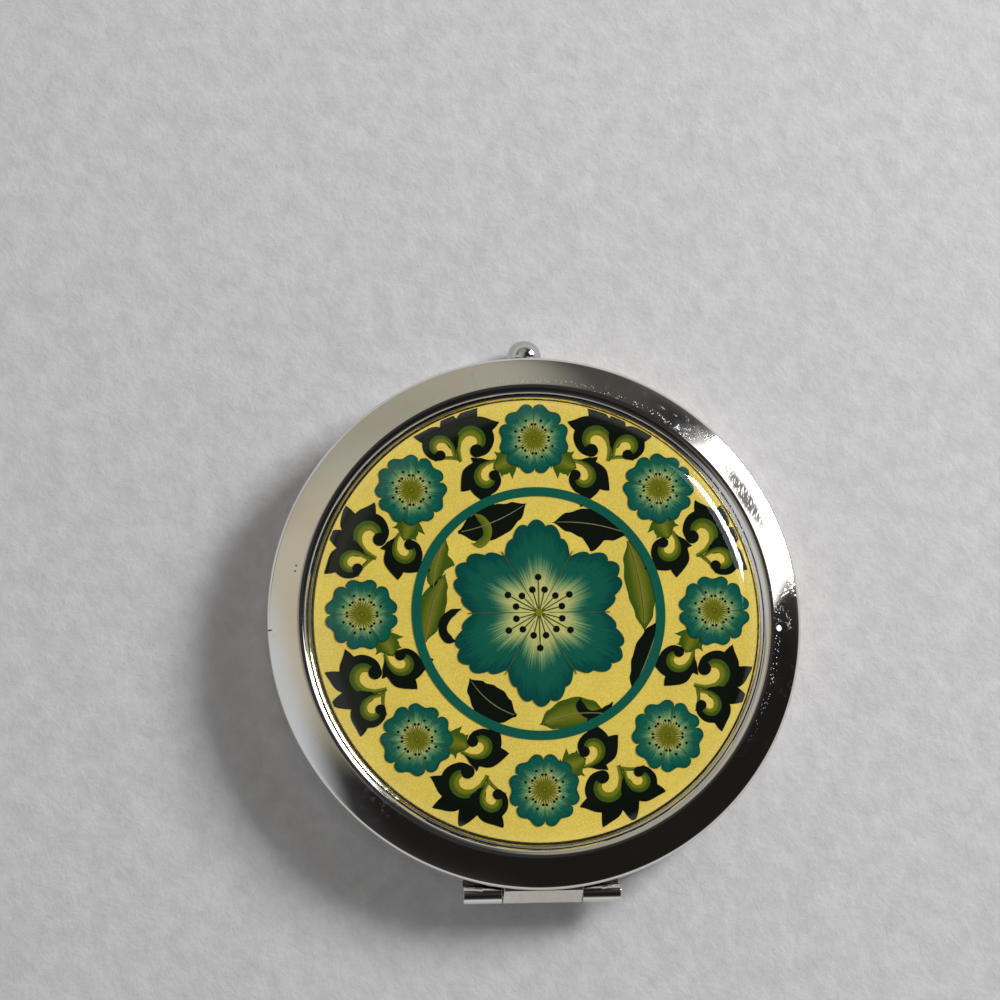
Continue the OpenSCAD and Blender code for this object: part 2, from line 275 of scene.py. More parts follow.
# Azimuth, elevation, inner and outer radius in degrees, colour
CARDS = [
    (70, 46, 4, 12, (0.08, 0.08, 0.075, 1)),
    (100, 49, 9, 22, (0.42, 0.4, 0.335, 1)),
    (130, 56, 16, 26, (0.4, 0.385, 0.32, 1)),
    (155, 64, 5, 24, (0.54, 0.5, 0.4, 1)),
    (190, 45, 12, 26, (0.6, 0.62, 0.66, 1)),
    (140, 79, 3, 13, (0.3, 0.28, 0.23, 1)),
    (-10, 50, 9, 19, (0.014, 0.013, 0.013, 1)),
    (-105, 72, 6, 16, (0.014, 0.012, 0.011, 1)),
    (-50, 64, 14, 24, (0.014, 0.012, 0.011, 1)),
]
# A low broad lamp, and a dimmer one above it
KEY = {"azimuth": 31.5, "elevation": 32.5, "distance": 1.0, "width": 0.36, "height": 0.34, "radiance": 29}
TOP = {"azimuth": 32, "elevation": 48, "distance": 1.0, "width": 0.36, "height": 0.22, "radiance": 1.8}

make_world()
area_lamp("key", **KEY)
area_lamp("top", **TOP)


def srgb(red, green, blue):
    """Linear colour from a display colour in 0 to 255."""
    def channel(value):
        value /= 255
        return value / 12.92 if value <= 0.04045 else ((value + 0.055) / 1.055) ** 2.4
    return (channel(red), channel(green), channel(blue), 1)


# Height of each surface's fine relief
POLISH_RELIEF = 1.2e-6
PRESSED_RELIEF = 3e-6
GLASS_RELIEF = 8e-7
RESIN_RELIEF = 1.2e-5
FOAM_RELIEF = 4e-5
GLUE_RELIEF = 1e-5
INK_RELIEF = 1e-6
FLOOR_RELIEF = 2.2e-4


def new_material(name):
    material = bpy.data.materials.new(name)
    material.use_nodes = True
    tree = Tree(material.node_tree)
    return material, tree, tree.add("TexCoord").outputs["Object"]


def finish_material(tree, surface, plain, height, distance):
    """Adds the surface shader: surface holds linked sockets, plain holds values set on the shader."""
    bump = tree.add("Bump", {"Height": height, "Distance": distance})
    shader = tree.add("BsdfPrincipled", {**surface, "Normal": bump.outputs[0], **plain})
    tree.add("OutputMaterial", {"Surface": shader})


def finish_metal(tree, base, roughness, height, relief):
    surface = {"Base Color": base, "Roughness": roughness}
    finish_material(tree, surface, {"Metallic": 1.0}, height, relief)


def scratches(tree, place, scale, stretch, angles, least):
    """Fine straight scratches: the peaks of stretched noise in several directions, 0 to 1."""
    total = 0.0
    for number, angle in enumerate(angles):
        turned = tree.add(
            "Mapping",
            {"Vector": place, "Location": (number * 0.037, number * 0.011, 0),
             "Rotation": (0, 0, math.radians(angle)), "Scale": (1 / scale, stretch / scale, stretch / scale)},
            vector_type="TEXTURE",
        ).outputs[0]
        total = tree.most(total, tree.ramp(tree.noise(turned, 1.0, 1.0), least, least + 0.08))
    return total


def near_spot(tree, place, angle, radius, reach, width):
    """1 at a spot of the lid's bezel and 0 away. reach is along the rim, width across it, in millimetres."""
    middle = direction(angle, 0) * radius * MM
    mapped = tree.add(
        "Mapping",
        {"Vector": place, "Location": (middle.x, middle.y, CREST), "Rotation": (0, 0, math.radians(angle)),
         "Scale": (width * MM, reach * MM, SPOT_H)},
        vector_type="TEXTURE",
    ).outputs[0]
    return tree.ramp(tree.vector("LENGTH", mapped), 0.45, 1.0, 1.0, 0.0)


def near_spots(tree, place, spots):
    """The strongest of several spots."""
    total = 0.0
    for spot in spots:
        total = tree.most(total, near_spot(tree, place, *spot))
    return total


CREST = high("lid_shell").z
SPOT_H = 3e-3
# Marks on the bezel, each with its angle, radius, reach along the rim and width across it, in millimetres
RUBBED = ((54, 32.6, 4.6, 2.0), (-1, 33.2, 2.2, 1.0), (132, 32.2, 4.0, 1.3), (205, 32.8, 3.5, 1.6))
# Scratch hatching inside the main highlight, painted near black in colour: a painted dark reflection of real
# scratches.
HATCH_PAINTED_DARK = ((29.5, 32.3, 6.4, 1.3),)
PIT_ROW = ((103.5, 32.8, 0.3, 2.4),)
NICKS = ((168.3, 32.0, 0.16, 0.2), (167.0, 32.0, 0.16, 0.2), (181.8, 34.7, 0.2, 0.5))
GLINTS = ((-3, 31.85, 0.5, 0.45),)
# Radii of the specks along the rolled edge and of the painted shade along the tray's creases
SPECK_R = ROLL_X + 0.75e-3
SPECK_FADE = (0.2e-3, 0.6e-3)
SPECK_SIDE = 50
SHADED_CREASES = (STEP_R + 0.02e-3, POCKET_R)
CREASE_SHADE_W = (0.03e-3, 0.11e-3)
# How far below the crest the wear of the lid's top and the painted shade in its creases fade out
WEAR_AND_SHADE_DEPTH = (1.6e-3, 1.4e-3)


def polished_metal(name, colour, tarnish, rough=(0.03, 0.11), worn=False):
    """Nickel plate: a mirror polish with smudges, scratches, specks, pits, painted shade in the creases,
    scratch hatching painted dark as a dark reflection, and a faint tarnish.
    """
    material, tree, place = new_material(name)
    up = tree.add("SeparateXYZ", {0: place}).outputs[2]
    on_top = tree.ramp(up, *(CREST - depth for depth in WEAR_AND_SHADE_DEPTH))
    across = tree.vector("LENGTH", tree.vector("MULTIPLY", place, (1, 1, 0)))
    patch = tree.times(tree.ramp(tree.noise(place, 70, 2.0), 0.5, 0.7), 0.3)
    rubbed = tree.times(near_spots(tree, place, RUBBED if worn else ()), 0.3)
    patch = tree.most(patch, rubbed)
    sparse = tree.ramp(tree.noise(place, 900, 2.0), 0.5, 0.6)
    lines = scratches(tree, place, 7500, 14, (12, 43, 71, 118, 150), 0.62)
    lines = tree.times(lines, tree.times(patch, sparse))
    rim = tree.math("ABSOLUTE", tree.minus(across, SPECK_R))
    where = tree.times(tree.ramp(rim, *SPECK_FADE, 1.0, 0.0), on_top)
    side = tree.vector("DOT_PRODUCT", place, direction(SPECK_SIDE, 0))
    where = tree.times(where, tree.ramp(side, -0.2 * SPECK_R, 0.5 * SPECK_R))
    where = tree.most(where, 0.04)
    cells = tree.add("TexVoronoi", {"Vector": place, "Scale": 3600}).outputs["Distance"]
    chance = tree.ramp(tree.noise(place, 1900, 1.0), 0.32, 0.46)
    specks = tree.times(tree.ramp(cells, 0.1, 0.28, 1.0, 0.0), tree.times(where, chance))
    worn_off = tree.math("MINIMUM", tree.plus(lines, specks), 1.0)
    worn_off = tree.most(worn_off, near_spots(tree, place, GLINTS if worn else ()))
    pits = tree.times(tree.ramp(cells, 0.12, 0.34, 1.0, 0.0), near_spots(tree, place, PIT_ROW))
    pits = tree.most(pits, near_spots(tree, place, NICKS))
    # Painted dark reflection: scratches across the highlight, darkened in colour.
    hatch_painted_dark = scratches(tree, place, 5000, 6, (-28, -10), 0.46)
    dark = tree.most(pits, tree.times(hatch_painted_dark, near_spots(tree, place, HATCH_PAINTED_DARK)))
    # Painted shade: a thin ragged dark line along each crease of the tray, darkening the colour where shade
    # falls.
    for radius in SHADED_CREASES:
        line = tree.ramp(tree.math("ABSOLUTE", tree.minus(across, radius)), *CREASE_SHADE_W, 1.0, 0.0)
        crease_shade = tree.times(line, tree.ramp(tree.noise(place, 1300, 2.0), 0.35, 0.6, 0.3, 0.9))
        dark = tree.most(dark, tree.times(crease_shade, on_top))
    tint = tree.mix(tree.ramp(tree.noise(place, 95, 3.0), 0.42, 0.78), colour, tarnish)
    # Darkens the colour at the pits and nicks, at the hatching (painted dark reflection) and along the
    # creases (painted shade).
    base = tree.mix(tree.times(dark, 0.92), tint, (0.05, 0.045, 0.04, 1))
    roughness = tree.ramp(tree.noise(place, 160, 4.0, 0.6), 0.4, 0.75, *rough)
    roughness = tree.plus(roughness, tree.times(worn_off, 0.55))
    height = tree.minus(tree.times(tree.noise(place, 240, 1.0), 0.35), worn_off)
    finish_metal(tree, base, roughness, height, POLISH_RELIEF)
    return material


def pressed_steel(name, colour, dark, rough=(0.24, 0.42)):
    """Plain pressed steel with a drawn grain, oil stains and rubbed marks."""
    material, tree, place = new_material(name)
    grain = tree.noise(
        tree.add("Mapping", {"Vector": place, "Scale": (300, 5200, 5200)}).outputs[0], 1.0, 3.0
    )
    stain = tree.noise(place, 420, 4.0, 0.6)
    rubbed = scratches(tree, place, 6000, 30, (5, 88, 140), 0.62)
    base = tree.mix(tree.ramp(stain, 0.4, 0.75), colour, dark)
    roughness = tree.plus(tree.ramp(grain, 0.3, 0.7, *rough), tree.times(rubbed, -0.08))
    height = tree.minus(grain, rubbed)
    finish_metal(tree, base, roughness, height, PRESSED_RELIEF)
    return material


def mirror_glass(name):
    """Silvered glass with a little dust, finger smears and a few hairlines."""
    material, tree, place = new_material(name)
    smear = tree.noise(place, 55, 4.0, 0.65)
    cells = tree.add("TexVoronoi", {"Vector": place, "Scale": 700}).outputs["Distance"]
    dust = tree.times(tree.ramp(cells, 0.03, 0.08, 1.0, 0.0), tree.ramp(smear, 0.55, 0.7))
    lines = tree.times(scratches(tree, place, 8000, 80, (20, 75, 130), 0.68), 0.35)
    base = tree.mix(dust, (0.90, 0.925, 0.92, 1), (0.62, 0.62, 0.6, 1))
    roughness = tree.ramp(smear, 0.5, 0.8, 0.004, 0.05)
    roughness = tree.plus(roughness, tree.times(tree.plus(dust, lines), 0.2))
    height = tree.minus(dust, lines)
    finish_metal(tree, base, roughness, height, GLASS_RELIEF)
    return material


def clear_resin(name):
    """Clear domed resin: glossy, faintly wavy, with fine hairlines. Lamps shine through it."""
    material, tree, place = new_material(name)
    waves = tree.noise(place, 45, 2.0)
    patch = tree.ramp(tree.noise(place, 90, 2.0), 0.5, 0.7)
    lines = tree.times(scratches(tree, place, 8000, 70, (33, 96, 150), 0.66), patch)
    smear = tree.noise(place, 130, 3.0, 0.6)
    roughness = tree.plus(tree.ramp(smear, 0.4, 0.8, 0.0, 0.035), tree.times(lines, 0.1))
    height = tree.minus(waves, tree.times(lines, 0.04))
    bump = tree.add("Bump", {"Height": height, "Distance": RESIN_RELIEF})
    glass = tree.add(
        "BsdfPrincipled",
        {"Base Color": (0.985, 0.98, 0.95, 1), "Roughness": roughness, "IOR": 1.5,
         "Transmission Weight": 1.0, "Normal": bump.outputs[0]},
    )
    path = tree.add("LightPath")
    lit = tree.most(path.outputs["Is Shadow Ray"], path.outputs["Is Diffuse Ray"])
    shader = tree.add("MixShader", {0: lit, 1: glass, 2: tree.add("BsdfTransparent")})
    tree.add("OutputMaterial", {"Surface": shader})
    return material


def matte(name, colour, other, scale, rough, relief):
    """Foam or glue: a mottled matte surface."""
    material, tree, place = new_material(name)
    cells = tree.noise(place, scale, 4.0, 0.7)
    base = tree.mix(tree.ramp(cells, 0.35, 0.7), colour, other)
    finish_material(tree, {"Base Color": base}, {"Roughness": rough}, cells, relief)
    return material


def printed_ink(name):
    """Ink in the colours of the mesh, with a fine printed stipple."""
    material, tree, place = new_material(name)
    ink = tree.add("Attribute", attribute_name="ink").outputs["Color"]
    stipple = tree.noise(place, 5200, 2.0, 0.7)
    clouds = tree.noise(place, 130, 3.0)
    dark = tree.mix(tree.ramp(stipple, 0.3, 0.7), (0.88, 0.88, 0.88, 1), (1.12, 1.12, 1.10, 1))
    warm = tree.mix(tree.ramp(clouds, 0.35, 0.7), (0.95, 0.95, 0.97, 1), (1.03, 1.02, 1.0, 1))
    base = tree.vector("MULTIPLY", tree.vector("MULTIPLY", ink, dark), warm)
    roughness = tree.ramp(stipple, 0.3, 0.7, 0.42, 0.58)
    surface = {"Base Color": base, "Roughness": roughness}
    finish_material(tree, surface, {"Specular IOR Level": 0.0}, stipple, INK_RELIEF)
    return material


NICKEL = polished_metal("polished_nickel", (0.80, 0.785, 0.75, 1), (0.74, 0.70, 0.62, 1), worn=True)
# The button's nickel is a darker copy of the case's: painted shade and dark reflection on the ball.
BUTTON_NICKEL_PAINTED_DARK = polished_metal("button_nickel_painted_dark", (0.6, 0.585, 0.55, 1), (0.42, 0.4, 0.36, 1))
FRAME_METAL = polished_metal("frame_nickel", (0.82, 0.81, 0.79, 1), (0.76, 0.74, 0.70, 1), (0.05, 0.16))
STEEL = pressed_steel("pressed_steel", (0.58, 0.575, 0.56, 1), (0.40, 0.385, 0.35, 1))
SPRING_STEEL = pressed_steel("spring_steel", (0.36, 0.35, 0.34, 1), (0.24, 0.22, 0.2, 1), (0.2, 0.34))
GLASS = mirror_glass("silvered_glass")
RESIN = clear_resin("clear_resin")
FOAM = matte("pad_foam", (0.86, 0.86, 0.84, 1), (0.72, 0.72, 0.69, 1), 3200, 0.8, FOAM_RELIEF)
GLUE = matte("glue_sheet", (0.80, 0.77, 0.66, 1), (0.70, 0.66, 0.54, 1), 1500, 0.45, GLUE_RELIEF)
PRINT = printed_ink("printed_ink")


FLOOR_REACH = 3.0


def make_floor():
    """A plain pale floor."""
    data = bpy.data.meshes.new("floor")
    corners = [(x * FLOOR_REACH, y * FLOOR_REACH, 0) for x, y in ((-1, -1), (1, -1), (1, 1), (-1, 1))]
    data.from_pydata(corners, [], [(0, 1, 2, 3)])
    floor = add_object("floor", data)
    material, tree, place = new_material("floor")
    turned = tree.add("Mapping", {"Vector": place, "Rotation": (0.6, 0.4, 0.9)}).outputs[0]
    lumps = tree.noise(turned, 330, 7.0, 0.68)
    shade = tree.mix(tree.ramp(lumps, 0.3, 0.7), (0.52, 0.515, 0.525, 1), (0.60, 0.595, 0.605, 1))
    finish_material(tree, {"Base Color": shade}, {"Roughness": 0.9}, lumps, FLOOR_RELIEF)
    data.materials.append(material)


make_floor()


def on_circle(centre, radius, angle):
    return (centre[0] + radius * cos(angle), centre[1] + radius * sin(angle))


def arc(centre, radius, start, end, steps=CORNER_STEPS):
    """Points of an arc in a section."""
    return [on_circle(centre, radius, start + (end - start) * i / steps) for i in range(steps + 1)]


def fill(made, corners):
    """A face from its corners, left out where they meet in a line."""
    unique = [v for n, v in enumerate(corners) if v not in corners[:n]]
    if len(unique) > 2:
        made.faces.new(unique)


def revolve(name, section, place=lambda r, t, c, s: (r * c, r * s, t), steps=ROUND_STEPS):
    """A solid of revolution. section is (radius, height) points, from axis to axis or a closed loop."""
    made = bmesh.new()
    rings = []
    for radius, height in section:
        count = steps if radius > 1e-9 else 1
        turns = [2 * math.pi * i / steps for i in range(count)]
        rings.append([made.verts.new(place(radius, height, math.cos(t), math.sin(t))) for t in turns])
    closed = len(rings[0]) > 1
    for k in range(len(rings) if closed else len(rings) - 1):
        a, b = rings[k], rings[(k + 1) % len(rings)]
        for i in range(steps):
            j = (i + 1) % steps
            fill(made, [a[i % len(a)], a[j % len(a)], b[j % len(b)], b[i % len(b)]])
    bmesh.ops.recalc_face_normals(made, faces=made.faces)
    return mesh_object(name, made)


def mesh_object(name, made):
    """An object from a bmesh, smooth but for its sharp edges."""
    data = bpy.data.meshes.new(name)
    made.to_mesh(data)
    made.free()
    piece = add_object(name, data)
    smooth(piece)
    return piece


def smooth(piece, angle=32):
    """Shades smooth, with edges over the angle sharp."""
    piece.data.shade_smooth()
    piece.data.set_sharp_from_angle(angle=math.radians(angle))


def evaluate(piece):
    """Applies the piece's modifiers."""
    bpy.context.view_layer.update()
    graph = bpy.context.evaluated_depsgraph_get()
    old = piece.data
    piece.data = bpy.data.meshes.new_from_object(piece.evaluated_get(graph))
    piece.modifiers.clear()
    bpy.data.meshes.remove(old)


def without_slivers(piece):
    """Takes out edges with no length and faces with no area, which cuts and rounded edges leave."""
    made = bmesh.new()
    made.from_mesh(piece.data)
    bmesh.ops.dissolve_degenerate(made, dist=SAME_PLACE, edges=made.edges)
    made.to_mesh(piece.data)
    made.free()


def cut(piece, *tools):
    """Cuts the tools out of the piece and removes them."""
    for tool in tools:
        modifier = piece.modifiers.new("cut", "BOOLEAN")
        modifier.operation = "DIFFERENCE"
        modifier.solver = "EXACT"
        modifier.object = tool
    evaluate(piece)
    without_slivers(piece)
    for tool in tools:
        data = tool.data
        bpy.data.objects.remove(tool)
        bpy.data.meshes.remove(data)
    smooth(piece)


def block(name, lowest, highest):
    """A box from its lowest to its highest corner, as a cutting tool."""
    made = bmesh.new()
    bmesh.ops.create_cube(made, size=1)
    middle = (Vector(lowest) + Vector(highest)) / 2
    span = Vector(highest) - Vector(lowest)
    for v in made.verts:
        v.co = middle + Vector((v.co.x * span.x, v.co.y * span.y, v.co.z * span.z))
    return mesh_object(name, made)


def rod(name, axis, radius, start, end, middle, steps=ROD_STEPS):
    """A round bar along an axis, 0 for X to 2 for Z. middle is its place on the other two."""
    def place(r, t, c, s):
        point = [middle[0] + r * c, middle[1] + r * s]
        point.insert(axis, t)
        return point
    return revolve(name, [(0, start), (radius, start), (radius, end), (0, end)], place, steps)


def dress(piece, material, slot, body, *nodes):
    """Gives a piece its material and its body, and hides the nodes that it stands for. slot is not used."""
    piece.data.materials.clear()
    piece.data.materials.append(material)
    if nodes:
        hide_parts(*nodes)
    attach(piece, body)


def softened(node, material, slot, body):
    """A small part with its CAD shape and rounded edges."""
    made = bmesh.new()
    made.from_mesh(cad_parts[node].data)
    bmesh.ops.remove_doubles(made, verts=made.verts, dist=SAME_PLACE)
    bmesh.ops.dissolve_limit(made, angle_limit=math.radians(0.5), verts=made.verts, edges=made.edges)
    piece = mesh_object(node + "_soft", made)
    bevel = piece.modifiers.new("edges", "BEVEL")
    bevel.width = SOFT_EDGE
    bevel.segments = 3
    bevel.limit_method = "ANGLE"
    bevel.angle_limit = math.radians(SOFT_ANGLE)
    bevel.use_clamp_overlap = True
    evaluate(piece)
    without_slivers(piece)
    smooth(piece, SOFT_SHADE)
    flat = piece.modifiers.new("flat_faces", "WEIGHTED_NORMAL")
    flat.keep_sharp = True
    evaluate(piece)
    dress(piece, material, slot, body, node)


# Lid and base shells
INNER_R = CASE_R - WALL
LID_CORNER_Z = LID_Z + LID_WALL_H
OUTER_TILT = 90 - BEZEL_SLOPE - BEZEL_CROWN
INNER_TILT = 90 - BEZEL_SLOPE + BEZEL_CROWN


# The bezel keeps its height and slope, and its outer edge is a little tighter than the construction's
EDGE_LIFT = sin(OUTER_TILT) - (1 - cos(OUTER_TILT)) / math.tan(math.radians(OUTER_TILT))
EDGE_C = (CASE_R - LID_EDGE_R, LID_CORNER_Z + (LID_CORNER_R - LID_EDGE_R) * EDGE_LIFT)
BEZEL_START = on_circle(EDGE_C, LID_EDGE_R, OUTER_TILT)
BEZEL_W = BEZEL_START[0] - on_circle((ROLL_X, 0), ROLL_TOP_R, INNER_TILT)[0]
BEZEL_R = BEZEL_W / (cos(OUTER_TILT) - cos(INNER_TILT))
BEZEL_C = on_circle(BEZEL_START, -BEZEL_R, OUTER_TILT)
BEZEL_END = on_circle(BEZEL_C, BEZEL_R, INNER_TILT)
ROLL_C = on_circle(BEZEL_END, -ROLL_TOP_R, INNER_TILT)
FOOT_C = on_circle(on_circle(ROLL_C, ROLL_TOP_R, 90 + ROLL_TURN), -ROLL_FOOT_R, 90 + ROLL_TURN)


def lid_section():
    """Section of the lid: rim, wall, corner, bezel, rolled edge and stepped tray, then back inside."""
    ceiling = TRAY_Z - FLOOR_T
    corner = (CASE_R - LID_CORNER_R, LID_CORNER_Z)
    crease = STEP_W * 0.1
    bead_r = (STEP_W - crease) / (sin(BEAD_TILTS[1]) - sin(BEAD_TILTS[0]))
    bead_c = on_circle((STEP_R - crease, TRAY_Z + STEP_H), -bead_r, 90 + BEAD_TILTS[0])
    return (
        arc((CASE_R - RIM_BREAK, LID_Z + RIM_BREAK), RIM_BREAK, -90, 0, 5)
        + arc(EDGE_C, LID_EDGE_R, 0, OUTER_TILT)
        + arc(BEZEL_C, BEZEL_R, OUTER_TILT, INNER_TILT, BEZEL_STEPS)[1:]
        + arc(ROLL_C, ROLL_TOP_R, INNER_TILT, 90 + ROLL_TURN, 24)[1:]
        + arc(FOOT_C, ROLL_FOOT_R, 90 + ROLL_TURN, 180, 8)[1:]
        + [(STEP_R, TRAY_Z + crease), (STEP_R - crease, TRAY_Z + crease)]
        + arc(bead_c, bead_r, 90 + BEAD_TILTS[0], 90 + BEAD_TILTS[1], 12)
        + [(POCKET_R, TRAY_Z), (0, TRAY_Z), (0, ceiling), (STEP_R + WALL, ceiling)]
        + [(STEP_R + WALL, BEZEL_END[1] - WALL / cos(BEZEL_SLOPE))]
        + arc(corner, LID_CORNER_R - WALL, OUTER_TILT, 0, 6)
        + arc((INNER_R + RIM_BREAK, LID_Z + RIM_BREAK), RIM_BREAK, 180, 270, 5)
    )


def base_section():
    """Section of the base: flat floor, rounded corner, wall and rim, then back inside."""
    inner = BASE_CORNER_R - WALL
    return (
        [(0, 0)]
        + arc((CASE_R - BASE_CORNER_R, BASE_CORNER_R), BASE_CORNER_R, -90, 0)
        + arc((CASE_R - RIM_BREAK, BASE_H - RIM_BREAK), RIM_BREAK, 0, 90, 5)
        + arc((INNER_R + RIM_BREAK, BASE_H - RIM_BREAK), RIM_BREAK, 90, 180, 5)
        + arc((INNER_R - inner, FLOOR_T + inner), inner, 0, -90, 8)
        + [(0, FLOOR_T)]
    )


HINGE_ROOM_R = HINGE_Z - low("lid_hinge_leaf").z + HINGE_RELIEF
KNUCKLE_W = high("lid_hinge_leaf").x


def hinge_room():
    """The space that the knuckles turn in, as a cutting tool."""
    reach = HINGE_W / 2 + HINGE_RELIEF
    return rod("room", 0, HINGE_ROOM_R, -reach, reach, (HINGE_Y, HINGE_Z))


def make_lid_shell():
    lid = revolve("lid_shell_polished", lid_section())
    notch = block(
        "notch",
        (-KNUCKLE_W - FIT, -CASE_R - OVER, LID_Z - OVER),
        (KNUCKLE_W + FIT, -INNER_R + OVER, LID_CORNER_Z - 2 * FIT),
    )
    cut(lid, hinge_room(), notch)
    dress(lid, NICKEL, "nickel", "lid", "lid_shell")


def make_base_shell():
    base = revolve("base_shell_polished", base_section())
    notch = block(
        "notch",
        (-HINGE_W / 2 - FIT, -CASE_R - OVER, HINGE_Z - HINGE_ROOM_R),
        (HINGE_W / 2 + FIT, -INNER_R + 2 * OVER, BASE_H + OVER),
    )
    hole = rod("hole", 1, STEM_HOLE_R, INNER_R - OVER, CASE_R + OVER, (0, BUTTON_Z))
    cut(base, notch, hole)
    dress(base, NICKEL, "nickel", "base", "base_shell")


make_lid_shell()
make_base_shell()


def make_resin():
    """Domed resin: a thin skirt below the print's face, a rounded edge and a rise that eases off inwards."""
    section = [(0, PRINT_TOP - RESIN_SKIRT), (INSERT_R, PRINT_TOP - RESIN_SKIRT)]
    section += arc((INSERT_R - RESIN_EDGE_H, PRINT_TOP), RESIN_EDGE_H, 0, RESIN_EDGE_TURN, 8)
    start = section[-1]
    for i in range(1, RESIN_STEPS + 1):
        inward = start[0] * (i / RESIN_STEPS) ** 1.6
        share = (1 - math.exp(-inward / RESIN_REACH)) / (1 - math.exp(-start[0] / RESIN_REACH))
        section.append((start[0] - inward, start[1] + (PRINT_TOP + RESIN_H - start[1]) * share))
    resin = revolve("resin_dome_clear", section)
    dress(resin, RESIN, "resin", "lid", "resin_dome")


make_resin()


# Printed ornament: its inks, and sizes in millimetres from the print's middle
LAYER = 0.008e-3
GROUND_DEPTH = 0.12e-3
GROUND = srgb(223, 199, 92)
TEAL = srgb(18, 88, 73)
DEEP_TEAL = srgb(8, 70, 63)
FADED_TEAL = srgb(88, 134, 92)
PALE = srgb(194, 192, 120)
CORE = srgb(122, 122, 26)
OLIVE = srgb(62, 86, 22)
LIGHT_OLIVE = srgb(116, 118, 30)
DARK = srgb(14, 20, 13)
PETAL_LINE = srgb(84, 82, 30)
RIB = srgb(120, 122, 84)
FILAMENT = srgb(72, 84, 18)

PRINT_R = 28.75
PRINT_SHIFT = 0.2 + 0.7j
RING_R = 16.0
RING_W = 1.15
BLOSSOM_R = 12.0
PETAL_NOTCH = 0.72
PETAL_SCALLOPS = 5
SCALLOP_DEPTH = 0.06
ROSETTE_ORBIT = 23.0
ROSETTE_R = 4.8
GAPS = 8
GAP_ANGLE = 360 / GAPS
# Which way each gap's sprig faces, from the gap after the rosette at +X
SPRIG_FLIPS = (False, False, True, True, True, True, True, False)

# Order of the inks, from the ground up. A leaf's core and a scroll's olive band lie one above their dark.
(
    L_GROUND, L_STEM, L_LEAF, L_LEAF_CORE, L_DARK, L_OLIVE, L_DARK_2, L_OLIVE_2, L_DARK_3, L_OLIVE_3,
    L_RIB, L_RING, L_FLOWER, L_PETAL_LINE, L_FILAMENT, L_DOT, L_CORE,
) = range(17)


def mixed(a, b, share):
    share = min(1.0, max(0.0, share))
    return tuple(x + (y - x) * share for x, y in zip(a, b))


def eased(value, low_end=0.0, high_end=1.0):
    """0 below the low end, 1 above the high end, and smooth between."""
    t = min(1.0, max(0.0, (value - low_end) / (high_end - low_end)))
    return t * t * (3 - 2 * t)


def along(values, share, shape=eased):
    """The value at a share of a line, between values that are evenly spaced on it."""
    place = min(max(share, 0.0), 1.0) * (len(values) - 1)
    k = min(int(place), len(values) - 2)
    return values[k] + (values[k + 1] - values[k]) * shape(place - k)


def shade(tones, share):
    """The colour at a share of a line, between evenly spaced tones."""
    place = min(max(share, 0.0), 1.0) * (len(tones) - 1)
    k = min(int(place), len(tones) - 2)
    return mixed(tones[k], tones[k + 1], place - k)


def grain(number, seed):
    """A repeatable value from 0 to 1 for a whole number."""
    wave = math.sin(number * 12.9898 + seed * 78.233) * 43758.5453
    return wave - math.floor(wave)


def polar(radius, angle):
    return cmath.rect(radius, math.radians(angle))


class Drawing:
    """Thin plates of ink. Each is a grid of (place, colour), its places complex numbers."""

    def __init__(self, plates=None, move=lambda z: z):
        self.plates = [] if plates is None else plates
        self.move = move

    def placed(self, centre=0, turn=0, mirrored=False):
        """The same drawing, with what follows moved, turned or mirrored."""
        unit, outer = polar(1, turn), self.move
        return Drawing(self.plates, lambda z: outer(centre + unit * (z.conjugate() if mirrored else z)))

    def within(self, radius):
        """The same drawing, with what follows kept inside a circle round its middle."""
        outer = self.move
        return Drawing(self.plates, lambda z: outer(z * min(1.0, radius / max(abs(z), 1e-9))))

    def plate(self, rows, level, closed=False):
        self.plates.append(([[(self.move(z), c) for z, c in row] for row in rows], level, closed))

    def round(self, outline, tones, level, count, shares, streaks=0.0):
        """A round plate. outline gives its radius at an angle in degrees, tones go out from its middle."""
        rows = []
        for k, share in enumerate(shares):
            row = []
            for i in range(count):
                angle = 360 * i / count
                wobble = streaks * (grain(i, count) - 0.5) if 0 < k < len(shares) - 1 else 0
                row.append((polar(outline(angle) * share, angle), shade(tones, share + wobble)))
            rows.append(row)
        self.plate(rows, level, True)

    def shape(self, outline, ink, level):
        """A plate of one ink inside a closed outline."""
        self.plate([[(place, ink) for place in outline]], level)

    def dot(self, centre, radius, ink, level, count=16):
        self.placed(centre).round(lambda angle: radius, (ink, ink), level, count, (0, 1))

    def band(self, line, left, right, tones, level, across=4):
        """A plate along a line of (place, direction, share), with widths to its left and right."""
        rows = []
        for c in range(across + 1):
            row = []
            for place, heading, share in line:
                offset = left(share) - (left(share) + right(share)) * c / across
                row.append((place + 1j * heading * offset, shade(tones, c / across)))
            rows.append(row)
        self.plate(rows, level)


def spine(length, bends, steps):
    """A line from the origin along +X that bends by the given degrees per millimetre."""
    place, angle, line = 0j, 0.0, []
    for i in range(steps + 1):
        heading = polar(1, angle)
        line.append((place, heading, i / steps))
        place += heading * length / steps
        angle += along(bends, (i + 0.5) / steps, float) * length / steps
    return line


def widths(*values):
    return lambda share: along(values, share)


def edges(line, left, right):
    """The closed outline round a line. A width's imaginary part leans that side towards the line's end."""
    out = [place - 1j * heading * right(share) for place, heading, share in line]
    home = [place + 1j * heading * complex(left(share)).conjugate() for place, heading, share in line]
    return out + home[::-1]


def lobed(unit, lobes, *values):
    """Widths with flame lobes, each (start, tip, end, bulge, spur): a swell that ends in a leaning point."""
    def width(share):
        total = complex(along(values, share))
        for start, tip, end, bulge, spur in lobes:
            if start < share <= tip:
                rise = (share - start) / (tip - start)
                total += bulge * math.sin(math.pi / 2 * rise) ** 0.8 + spur * rise**6 * (1 + 0.5j)
            elif tip < share < end:
                fall = (end - share) / (end - tip)
                total += (bulge + spur * (1 + 0.5j)) * fall
        return unit * total
    return width


